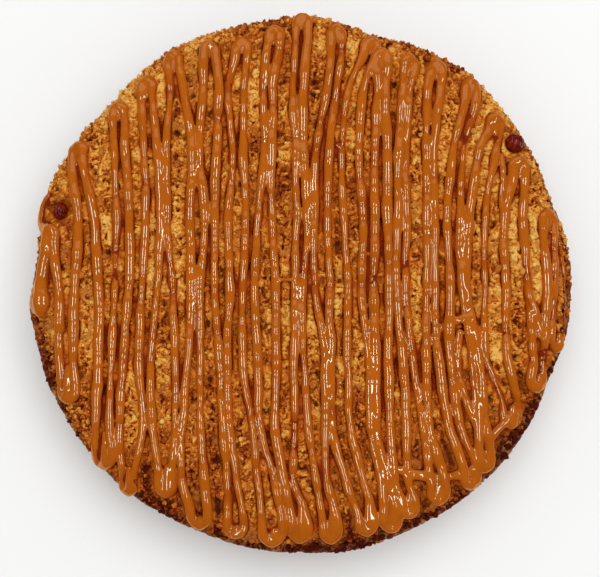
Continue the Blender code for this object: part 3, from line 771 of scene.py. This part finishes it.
def caramelChains(xs, ys, ground, calmer):
    # every strand with its height: round links along it, each with its swing. Short tongues fill the turns.
    close = drizzle["follow"]

    def heightOf(spots):
        # what the caramel lies on: mostly the ground, partly the mean of its surroundings
        return close * sampled(ground, xs, ys, spots) + (1 - close) * sampled(calmer, xs, ys, spots)

    chains = []
    for number, (line, radius, swing) in enumerate(drizzleStrands()):
        walk = walked(line)
        along = np.stack((walk, np.full(len(walk), 0.07 * number)), -1)
        height = heightOf(line) + drizzle["lift"] * radius + noiseSum(along, drizzle["wave"]) - line[:, 2]
        chains.append((np.column_stack((line[:, :2], height)), radius, swing))
    for swing, (_, back, _, front) in enumerate(drizzle["swings"]):
        for turn, side, pool in (back, 1, drizzle["backPool"]), (front, -1, drizzle["frontPool"]):
            length = drizzle["pools"][swing] / 1000
            if side > 0:
                length = pool["length"][0] + pool["length"][1] * oneDraw(95, 2 * swing)
            spineY = turn[1] / 1000 - side * (pool["start"] + length * np.linspace(0, 1, 8))
            spine = np.stack((np.full(8, turn[0] / 1000 + pool["aside"] * (swing > 0)), spineY), -1)
            thick = np.linspace(*pool["thick"], 8)
            chains.append((np.column_stack((spine, heightOf(spine) + pool["lift"] * thick)), thick, swing))
    return chains


def blurred(field, widthX, widthY):
    # a Gaussian blur along each axis in turn; the border repeats
    for axis, width in ((0, widthX), (1, widthY)):
        half = int(3 * width) + 1
        kernel = np.exp(-0.5 * (np.arange(-half, half + 1) / width) ** 2)
        kernel /= kernel.sum()
        padded = np.pad(field, [(half, half) if k == axis else (0, 0) for k in range(2)], mode="edge")
        count = field.shape[axis]
        field = sum(weight * np.take(padded, range(k, k + count), axis=axis) for k, weight in enumerate(kernel))
    return field


def sampled(field, xs, ys, points):
    # bilinear reading of a field over an even grid
    i = np.clip((points[..., 0] - xs[0]) / (xs[1] - xs[0]), 0, len(xs) - 1.001)
    j = np.clip((points[..., 1] - ys[0]) / (ys[1] - ys[0]), 0, len(ys) - 1.001)
    a, b = i.astype(int), j.astype(int)
    s, t = i - a, j - b
    return (field[a, b] * (1 - s) * (1 - t) + field[a + 1, b] * s * (1 - t) + field[a, b + 1] * (1 - s) * t
            + field[a + 1, b + 1] * s * t)


def restingGround(x, y):
    # what the caramel lies on: the crumb, then the pastry's lip, then the slope of the side
    angle, radius = np.arctan2(y, x), np.hypot(x, y)
    overRim = radius - rimRadius(angle) + 0.001
    lip = pie["bed"] + pie["lipRise"] * lipStands(angle) + 0.0006
    height = np.where(radius > crumbRadius(angle), np.minimum(lip, pie["edge"]), crumbSurface(x, y)[0])
    return np.where(overRim > 0, lip - 2.2 * overRim, height)


def fromLink(px, py, pz, a, b, radii):
    # from points, measured from a, to a round link a-b: what is left along each axis, with heights counting more,
    # which flattens the strand; the distance; and that less the link's radius there
    u = b - a
    t = np.clip((px * u[0] + py * u[1] + pz * u[2]) / (u @ u), 0, 1)
    away = px - t * u[0], py - t * u[1], (pz - t * u[2]) * drizzle["flat"]
    apart = np.sqrt(away[0] ** 2 + away[1] ** 2 + away[2] ** 2)
    return away, apart, apart - (radii[0] + (radii[1] - radii[0]) * t)


def strandDistances(line, radius, xs, ys, ws, ground):
    # least distance from each lattice point to a chain's links. Only the lattice near each link is touched.
    near = np.full((len(xs), len(ys), len(ws)), drizzle["far"], np.float32)
    for a, b, *radii in zip(line, line[1:], radius, radius[1:]):
        wide = max(radii) + 0.0036
        i0, i1 = np.searchsorted(xs, (min(a[0], b[0]) - wide, max(a[0], b[0]) + wide))
        j0, j1 = np.searchsorted(ys, (min(a[1], b[1]) - wide, max(a[1], b[1]) + wide))
        if i1 > i0 and j1 > j0:
            px, py = (xs[i0:i1] - a[0])[:, None, None], (ys[j0:j1] - a[1])[None, :, None]
            pz, part = ground[i0:i1, j0:j1, None] + ws - a[2], near[i0:i1, j0:j1]
            np.minimum(part, fromLink(px, py, pz, a, b, radii)[2], out=part)
    return near


def fieldAt(points, chains):
    # the field -melt ln(sum of exp(-distance / melt)), in which chains flow together, and its slope at any points
    melt = drizzle["melt"]
    order = np.argsort(points[:, 1])
    spots = points[order]
    weight, pull = np.zeros(len(spots)), np.zeros((len(spots), 3))
    for line, radius in chains:
        mine = np.flatnonzero((spots[:, 0] > line[:, 0].min() - 0.007) & (spots[:, 0] < line[:, 0].max() + 0.007))
        near, toward = np.full(len(mine), drizzle["far"]), np.zeros((len(mine), 3))
        along = spots[mine, 1]
        for a, b, *radii in zip(line, line[1:], radius, radius[1:]):
            k0, k1 = np.searchsorted(along, (min(a[1], b[1]) - 0.006, max(a[1], b[1]) + 0.006))
            if k1 > k0:
                away, apart, value = fromLink(*(spots[mine[k0:k1]] - a).T, a, b, radii)
                closer = value < near[k0:k1]
                slope = np.stack((away[0], away[1], away[2] * drizzle["flat"]), -1)
                near[k0:k1][closer] = value[closer]
                toward[k0:k1][closer] = (slope / np.maximum(apart, 1e-6)[:, None])[closer]
        share = np.exp(-near / melt)
        weight[mine] += share
        pull[mine] += share[:, None] * toward
    weight = np.maximum(weight, 1e-9)
    value = -melt * np.log(weight) + noiseSum(spots[:, :2], drizzle["ripples"])
    back = np.argsort(order)
    return value[back], (pull / weight[:, None])[back]


def settled(points, chains, rounds=2):
    # moves points onto the surface itself: each time by the field's value against its slope there
    for _ in range(rounds):
        value, slope = fieldAt(points, chains)
        step = np.clip(value / np.maximum((slope**2).sum(1), 0.2), -0.0006, 0.0006)
        points = points - step[:, None] * slope
    return points


def cellsBeside(where, axis, cells):
    # the four cells round each lattice edge in order, and whether each lies within the lattice
    b, c = [k for k in range(3) if k != axis]
    for db, dc in ((0, 0), (1, 0), (1, 1), (0, 1)):
        cell = where.copy()
        cell[:, b] -= db
        cell[:, c] -= dc
        yield cell, ((cell >= 0) & (cell < cells)).all(1)


def surfaceOf(field, xs, ys, heights):
    # the surface where the field is nought: one point in each cell that it crosses, at the mean of the crossings
    # on the cell's edges, and one quad round each crossed lattice edge
    inside = field < 0
    lattice = np.stack(np.broadcast_arrays(xs[:, None, None], ys[None, :, None], heights), -1)
    cells = tuple(n - 1 for n in field.shape)
    total, hits = np.zeros(cells + (3,)), np.zeros(cells)
    crossed = []
    for axis in range(3):
        lower, upper = (tuple(cut if k == axis else slice(None) for k in range(3))
                        for cut in (slice(0, -1), slice(1, None)))
        change = inside[lower] != inside[upper]
        f0, f1 = field[lower][change], field[upper][change]
        t = (f0 / (f0 - f1))[:, None]
        spot = lattice[lower][change] * (1 - t) + lattice[upper][change] * t
        beside = list(cellsBeside(np.argwhere(change), axis, cells))
        crossed.append((beside, inside[lower][change]))
        for cell, good in beside:
            np.add.at(total, tuple(cell[good].T), spot[good])
            np.add.at(hits, tuple(cell[good].T), 1)
    used = hits > 0
    number = np.full(cells, -1)
    number[used] = np.arange(used.sum())
    faces = []
    for axis, (beside, startsInside) in enumerate(crossed):
        good = np.all([within for _, within in beside], axis=0)
        quad = np.stack([number[tuple(cell[good].T)] for cell, _ in beside], -1)
        inward = ~(startsInside[good] ^ (axis == 1))
        quad[inward] = quad[inward][:, ::-1]
        faces.append(quad)
    return total[used] / hits[used][:, None], np.concatenate(faces)


def buildCaramel(material):
    # a lattice that follows the ground, the strands' field on it, and the surface where that is nought.
    # Returns what the caramel covers from above, with the lattice's x and y.
    melt, edge = drizzle["melt"], 0.0002
    stepX, stepY, stepZ = drizzle["lattice"]
    xs, ys = (np.arange(-drizzle["span"], drizzle["span"], step) for step in (stepX, stepY))
    ws = np.arange(*drizzle["layer"], stepZ)
    x, y = np.meshgrid(xs, ys, indexing="ij")
    rough = restingGround(x, y)
    ground, calmer = (blurred(rough, wide / stepX, deep / stepY) for wide, deep in drizzle["blurs"])
    chains = caramelChains(xs, ys, ground, calmer)
    cover = np.zeros((len(xs), len(ys)), bool)
    lowest = 0
    for name, highest in zip(("caramelLeft", "caramelMiddle", "caramelRight"), drizzle["groups"]):
        mine = [(line, radius) for line, radius, swing in chains if lowest <= swing < highest]
        lowest = highest
        allX = np.concatenate([line[:, 0] for line, _ in mine])
        i0, i1 = np.searchsorted(xs, (allX.min() - 0.009, allX.max() + 0.009))
        part, partGround = xs[i0:i1], ground[i0:i1]
        together = np.zeros((len(part), len(ys), len(ws)), np.float32)
        for line, radius in mine:
            near = strandDistances(line, radius, part, ys, ws, partGround)
            low = near < 6 * melt
            together[low] += np.exp(-near[low] / melt)
        field = np.where(together > 0, -melt * np.log(np.maximum(together, 1e-9)), 6 * melt)
        field += noiseSum(np.stack((x[i0:i1], y[i0:i1]), -1), drizzle["ripples"])[:, :, None]
        for wall in (field[:, :, 0], field[:, :, -1], field[0], field[-1], field[:, 0], field[:, -1]):
            np.maximum(wall, edge, out=wall)
        points, quads = surfaceOf(field, part, ys, partGround[:, :, None] + ws)
        points = settled(points, mine)
        # how thin the caramel is: its height above what it lies on, against that of a whole strand
        thin = np.clip(1 - (points[:, 2] - sampled(ground, xs, ys, points) - 0.0001) / 0.0014, 0, 1)
        cover[i0:i1] |= field.min(axis=2) < 0
        makePiece(name, points, [quads], material, ["crumb_topping"], dict(thin=thin))
    return cover.astype(float), xs, ys


def splitFaces(points, faces):
    # each face split in four, all points at distance 1
    edges = np.sort(np.concatenate((faces[:, [0, 1]], faces[:, [1, 2]], faces[:, [2, 0]])), axis=1)
    unique, inverse = np.unique(edges, axis=0, return_inverse=True)
    ab, bc, ca = len(points) + inverse.reshape(3, -1)
    points = np.concatenate((points, points[unique].mean(axis=1)))
    a, b, c = faces.T
    corners = (a, ab, ca), (b, bc, ab), (c, ca, bc), (ab, bc, ca)
    return points / np.linalg.norm(points, axis=1)[:, None], np.concatenate([np.stack(c, -1) for c in corners])


def icoShape(level):
    # a unit icosahedron, its faces split in four for each level; without a level its points lie further out
    g = (1 + math.sqrt(5)) / 2
    points = np.array([(-1, g, 0), (1, g, 0), (-1, -g, 0), (1, -g, 0), (0, -1, g), (0, 1, g),
                       (0, -1, -g), (0, 1, -g), (g, 0, -1), (g, 0, 1), (-g, 0, -1), (-g, 0, 1)], float)
    faces = np.array([(0, 11, 5), (0, 5, 1), (0, 1, 7), (0, 7, 10), (0, 10, 11), (1, 5, 9), (5, 11, 4), (11, 10, 2),
                      (10, 7, 6), (7, 1, 8), (3, 9, 4), (3, 4, 2), (3, 2, 6), (3, 6, 8), (3, 8, 9), (4, 9, 5),
                      (2, 4, 11), (6, 2, 10), (8, 6, 7), (9, 8, 1)])
    for _ in range(level):
        points, faces = splitFaces(points, faces)
    return points, faces


def octaShape():
    # a unit octahedron with its faces split in four
    points = np.array([(1, 0, 0), (0, 1, 0), (-1, 0, 0), (0, -1, 0), (0, 0, 1), (0, 0, -1)], float)
    faces = np.array([(0, 1, 4), (1, 2, 4), (2, 3, 4), (3, 0, 4), (1, 0, 5), (2, 1, 5), (3, 2, 5), (0, 3, 5)])
    return splitFaces(points, faces)


def turnedAtRandom(count, draw):
    # rotation matrices from random unit quaternions
    q = draw.normal(size=(count, 4))
    w, x, y, z = (q / np.linalg.norm(q, axis=1)[:, None]).T
    return np.stack((1 - 2 * (y * y + z * z), 2 * (x * y - z * w), 2 * (x * z + y * w),
                     2 * (x * y + z * w), 1 - 2 * (x * x + z * z), 2 * (y * z - x * w),
                     2 * (x * z - y * w), 2 * (y * z + x * w), 1 - 2 * (x * x + y * y)), -1).reshape(-1, 3, 3)


crumbKinds = dict(
    # spacing of the places, radius range, how uneven it is, how deep it sinks in its own radii, how far its tone
    # lies from the bed's and how far that varies, whether it is moist, and how far in from the outline it lies
    crumbGrit=dict(spacing=0.0030, size=(0.00030, 0.00052), knobbly=0.30, sink=0.45, tone=(0.05, 0.10), moist=0),
    crumbFine=dict(spacing=0.0048, size=(0.00055, 0.00090), knobbly=0.34, sink=0.65, tone=(0.03, 0.08), moist=0),
    crumbEdge=dict(spacing=0.0017, size=(0.00032, 0.00068), knobbly=0.44, sink=0.45, tone=(-0.08, 0.24), moist=0,
                   band=0.006),
    crumbMedium=dict(spacing=0.0105, size=(0.0011, 0.0016), knobbly=0.30, sink=0.80, tone=(0.04, 0.08), moist=0),
    crumbPebble=dict(spacing=0.0180, size=(0.0014, 0.0021), knobbly=0.14, sink=0.85, tone=(-0.05, 0.08), moist=1),
)


def crumbPlaces(kind, draw):
    # a jittered grid over the disc of the crumb; small crumbs lie on the lip as well, and a band keeps to the edge
    spacing = kind["spacing"]
    side = np.arange(-0.127, 0.127, spacing)
    x, y = np.meshgrid(side, side)
    spots = np.stack((x.ravel(), y.ravel()), -1)
    spots = spots + draw.uniform(-0.5, 0.5, spots.shape) * spacing
    radius, angle = np.hypot(*spots.T), np.arctan2(spots[:, 1], spots[:, 0])
    crumb = crumbRadius(angle)
    outer = rimRadius(angle) - 0.0011 if kind["size"][1] < 0.001 else crumb - 0.0020
    return spots[(radius < outer) & (radius > crumb - kind.get("band", pie["rim"] * 2))]


def bedTop(spots):
    # height, tone and moistness where a crumb lies: the bed's own, and beyond its outline down to the browned lip
    height, tone, _, moist = crumbSurface(spots[:, 0], spots[:, 1])
    radius, angle = np.hypot(*spots.T), np.arctan2(spots[:, 1], spots[:, 0])
    beyond = np.clip((radius - crumbRadius(angle)) / 0.0010, 0, 1)
    lip = pie["bed"] + pie["lipRise"] * lipStands(angle)
    atBack = np.clip(0.5 + 1.3 * np.sin(angle), 0, 1)
    everywhere, standing, gone, paler = crumbTone["lip"]
    browned = (standing * lipStands(angle) + everywhere) * (1 - gone * atBack) - paler * atBack
    return height * (1 - beyond) + lip * beyond, tone - browned * beyond, moist * (1 - beyond)


def buildCrumbs(name, kind, material, covered, seed):
    # every crumb is a small ball with its points moved in and out, stretched, turned at random and sunk into the
    # bed, where neither caramel nor a berry lies
    draw = np.random.default_rng(seed)
    spots = crumbPlaces(kind, draw)
    size = draw.uniform(*kind["size"], len(spots))
    cover, xs, ys = covered
    wide = np.mean(kind["size"])
    near = blurred(cover, *(max(0.4, 0.9 * wide / (along[1] - along[0])) for along in (xs, ys)))
    keep = (sampled(near, xs, ys, spots) < 0.25) & (berryDistance(spots) > berries["reach"])
    spots, size = spots[keep], size[keep]
    shape, shapeFaces = octaShape() if wide > 0.001 else icoShape(0)
    count, each = len(spots), len(shape)
    body = shape[None] * (1 + kind["knobbly"] * draw.uniform(-1, 1, (count, each, 1)))
    body = body * draw.uniform(0.75, 1.2, (count, 1, 3))
    body = np.einsum("nij,nvj->nvi", turnedAtRandom(count, draw), body) * size[:, None, None]
    height, tone, moist = bedTop(spots)
    stainAndShade, slot = stainAndShadeAt(spots, covered)
    height = height - crumbStainAndShade["sink"] * slot + size * (0.6 - kind["sink"])
    points = (body + np.column_stack((spots, height))[:, None]).reshape(-1, 3)
    faces = (shapeFaces[None] + (np.arange(count) * each)[:, None, None]).reshape(-1, 3)
    # painted shade: crumbs in the sunk slots are darker
    tone = tone - 0.10 * slot + kind["tone"][0] + kind["tone"][1] * draw.uniform(-1, 1, count)
    # painted light and shade on each crumb: its top a little paler, its underside darker with pit shade
    low = np.clip(body[:, :, 2] / size[:, None], -1, 1)
    values = dict(tone=(tone[:, None] + 0.04 * low).ravel(), pitShade=np.clip(-low * 0.5, 0, 1).ravel(),
                  moist=np.repeat(np.maximum(moist, kind["moist"]), each), stainAndShade=np.repeat(stainAndShade, each))
    makePiece(name, points, [faces], material, (), values)


pastry = dict(
    around=1440,           # points in each ring
    underside=(0.25, 0.5, 0.75, 0.9),
    bevel=0.0015,
    rows=34,               # rings up the side, which ends this far inside the rim and below the lip
    sideInset=0.0016,
    sideBelow=0.0045,
    # rings over the outer edge: inset, height over the bed, share of the lip's rise, brown
    edge=((0.0003, -0.0024, 0, 0.32), (0.0001, -0.0012, 0.15, 0.26), (0.0, -0.0004, 0.25, 0.22),
          (0.0, 0.0, 0.40, 0.28), (0.0, 0.0, 0.62, 0.30)),
    # rings over the top of the lip: share of its width, share of its rise
    top=((0.10, 0.78), (0.22, 0.92), (0.36, 1.0), (0.5, 1.0), (0.64, 0.96), (0.78, 0.88), (0.9, 0.74)),
    lipFoot=0.0004,
    inset=0.00018,
    # height or reach, cell, seed and layers of the flakes and of the tone's noises
    flakes=((0.0009, 0.0050, 81, 3), (0.0008, 0.0019, 85, 2)),
    tones=((0.20, 0.014, 87, 3), (0.45, 0.0024, 89, 2)),
)


def buildPastry(look, material):
    # rings from the underside up the side, over the lip and in under the crumb, each with its radius, height and
    # tone; the flakes push the outer rings inwards
    angle = np.arange(look["around"]) * 2 * math.pi / look["around"]
    rim, lip, rise = rimRadius(angle), lipWidth(angle), pie["lipRise"] * lipStands(angle)
    bed, base, bevel, foot = pie["bed"], pie["base"], look["bevel"], look["lipFoot"]
    rings = [(base * share, 0.0, 0.62) for share in look["underside"]]
    rings += [(base - bevel * (1 - math.sin(turn)), bevel * (1 - math.cos(turn)), 0.58)
              for turn in np.linspace(0, math.pi / 2, 4)]
    rings += [(base + (rim - look["sideInset"] - base) * share**0.9, bevel + share * (bed - look["sideBelow"]),
               0.66 - 0.28 * share**2) for share in np.arange(1, look["rows"]) / look["rows"]]
    rings += [(rim - inset, bed + height + lift * rise, brown) for inset, height, lift, brown in look["edge"]]
    rings += [(rim - part * (lip - foot), bed + lift * rise, 0.40 + 0.1 * part) for part, lift in look["top"]]
    rings += [(rim - lip + foot, bed, 0.3)] + [((rim - lip) * share, bed, 0.5) for share in (0.75, 0.5, 0.25)]
    radii, heights, browns = (np.array([np.broadcast_to(value, angle.shape) for value in column])
                              for column in zip(*rings))
    points = np.stack((radii * np.cos(angle), radii * np.sin(angle), heights), -1)
    relief = sum(height * layeredNoise(points, *rest) for height, *rest in look["flakes"])
    outer = np.clip((heights - 0.0005) / 0.004, 0, 1) * (radii > base * 0.98) * (radii > (rim - lip + 0.0005))
    inwards = -(look["inset"] + np.abs(relief)) * outer
    points[..., 0] += inwards * np.cos(angle)
    points[..., 1] += inwards * np.sin(angle)
    points[..., 2] += np.where(heights > bed, 0.8 * relief * outer - 0.0003 * outer, 0)
    tone = browns + sum(reach * layeredNoise(points, *rest) for reach, *rest in look["tones"])
    points = np.concatenate((points.reshape(-1, 3), [[0, 0, 0], [0, 0, bed]]))
    around, last = np.arange(look["around"]), len(points)
    faces = [ringFaces(len(rings), len(around)), fanFaces(around, last - 2, False),
             fanFaces((len(rings) - 1) * len(around) + around, last - 1, True)]
    makePiece("pastryCrust", points, faces, material, ["pastry_case"],
              dict(tone=np.concatenate((tone.ravel(), [0.6, 0.5]))))


def buildBerry(name, node, material, seed):
    # a ball pressed into its node's box, with folds in its skin
    low, high = np.array(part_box(node))
    shape, faces = icoShape(5)
    folds = sum(depth * np.abs(layeredNoise(shape, cell, seed + step, layers))
                for depth, cell, step, layers in berries["folds"])
    points = shape * (1 - folds)[:, None] * (high - low) / 2 + (low + high) / 2
    makePiece(name, points, [faces], material, [node])


studio = dict(
    aim=(0.0, -0.0037, 0.037),
    distance=0.694,
    elevation=84.0,
    lens=90.0,
    # brightness of the surroundings from the horizon (0) to straight up (1); no shine shows them
    world=((0.0, 0.60), (1.0, 0.69)),
    floor=(0.80, 0.80, 0.80),
    floorLook=dict(roughness=0.6, specular=0.5),
    floorHalf=3.0,
    # two narrow lamps beside each other, which show only as the paired lines on the caramel
    strip=dict(x=1.02, z=2.40, aim=0.04, width=0.33, colour=(0.76, 1.0, 0.82)),
    # each is cut in three, with gaps between: y and length of the parts, and their power
    stripParts=((0.46, 0.56, 8.4), (-0.26, 0.42, 6.2), (-1.04, 0.62, 8.0)),
    lamps=dict(
        # a dim panel behind the pie, which only gives the soft sheen on slopes that face the back
        panelBack=dict(place=(0.0, 2.0, 1.45), aim=(0.0, 0.0, 0.04), size=(3.2, 1.3), power=11.0,
                       colour=(1.0, 0.82, 0.50)),
        # a faint warm glow from below, which only draws a thin line along the caramel's steep outer edges
        rimBelow=dict(place=(0.0, 0.0, -0.30), aim=(0.0, 0.0, 0.03), size=(2.4, 2.4), power=19.0,
                      colour=(1.0, 0.70, 0.44)),
        # the broad soft lamp overhead
        keySoft=dict(place=(0.24, 0.40, 2.2), aim=(0.0, 0.0, 0.03), size=(2.1, 2.1), power=36.0, shineOnly=False),
    ),
)


def placeObject(name, data, place, target):
    # an object whose -Z points from its place at the target, with its Y as near the pie's own Y as it can be
    back = np.array(place, float) - np.array(target, float)
    back /= np.linalg.norm(back)
    side = np.cross((0, 1, 0), back)
    side /= np.linalg.norm(side)
    thing = bpy.data.objects.new(name, data)
    thing.location = place
    thing.rotation_mode = "QUATERNION"
    axes = np.column_stack((side, np.cross(back, side), back))
    thing.rotation_quaternion = Matrix(axes.tolist()).to_quaternion()
    bpy.context.scene.collection.objects.link(thing)
    return thing


def areaLight(name, place, aim, size, power, colour=(1, 1, 1), shineOnly=True):
    # a lamp either lights the surfaces or only shines on the glossy ones
    light = bpy.data.lights.new(name, "AREA")
    light.shape = "RECTANGLE"
    light.size, light.size_y = size
    light.energy = power
    light.color = colour
    lamp = placeObject(name, light, place, aim)
    lamp.visible_diffuse = not shineOnly
    lamp.visible_glossy = shineOnly


def buildStudio(look):
    # surroundings brighter towards the top, a floor, the strips to both sides, the other lamps and the camera
    scene = bpy.context.scene
    world = bpy.data.worlds.new("studioWorld")
    world.use_nodes = True
    tree = world.node_tree
    up = addNode(tree, "SeparateXYZ", "Z", {0: addNode(tree, "TexCoord", "Generated", {})})
    feed(tree, tree.nodes["Background"].inputs["Color"],
         rampNode(tree, up, [(place, (level,) * 3) for place, level in look["world"]]))
    world.cycles_visibility.glossy = False
    scene.world = world
    scene.view_settings.view_transform = "Standard"
    material, tree = newMaterial("floorPale")
    dressShader(tree, look["floor"], look["floorLook"])
    floorMesh = bpy.data.meshes.new("studioFloor")
    half = look["floorHalf"]
    corners = [(-half, -half, 0), (half, -half, 0), (half, half, 0), (-half, half, 0)]
    floorMesh.from_pydata(corners, [], [(0, 1, 2, 3)])
    floorMesh.materials.append(material)
    floor = bpy.data.objects.new("studioFloor", floorMesh)
    scene.collection.objects.link(floor)
    floor.visible_glossy = False    # the caramel's steep sides would mirror it as a pink rim
    strip = look["strip"]
    for side, word in ((-1, "Left"), (1, "Right")):
        for letter, (y, length, power) in zip("ABC", look["stripParts"]):
            areaLight("strip" + word + letter, (side * strip["x"], y, strip["z"]), (0, y, strip["aim"]),
                      (strip["width"], length), power, strip["colour"])
    for name, lamp in look["lamps"].items():
        areaLight(name, **lamp)
    camera = bpy.data.cameras.new("photoCamera")
    camera.lens = look["lens"]
    camera.sensor_width = 36
    camera.clip_start, camera.clip_end = 0.05, 20
    tilt = math.radians(look["elevation"])
    place = np.array(look["aim"]) + look["distance"] * np.array((0, -math.cos(tilt), math.sin(tilt)))
    scene.camera = placeObject("photoCamera", camera, place, look["aim"])
    print("studio: floor,", len(bpy.data.lights), "lamps and the camera")


buildStudio(studio)
crumb = crumbMaterial(crumbLook)
buildPastry(pastry, pastryMaterial(pastryLook))
covered = buildCaramel(caramelMaterial(caramelLook))
buildCrumbBed(crumb, covered)
for number, (name, kind) in enumerate(crumbKinds.items()):
    buildCrumbs(name, kind, crumb, covered, 100 + number)
fruit = berryMaterial(berryLook)
buildBerry("berryRightSkin", "berry_right", fruit, 21)
buildBerry("berryLeftSkin", "berry_left", fruit, 22)
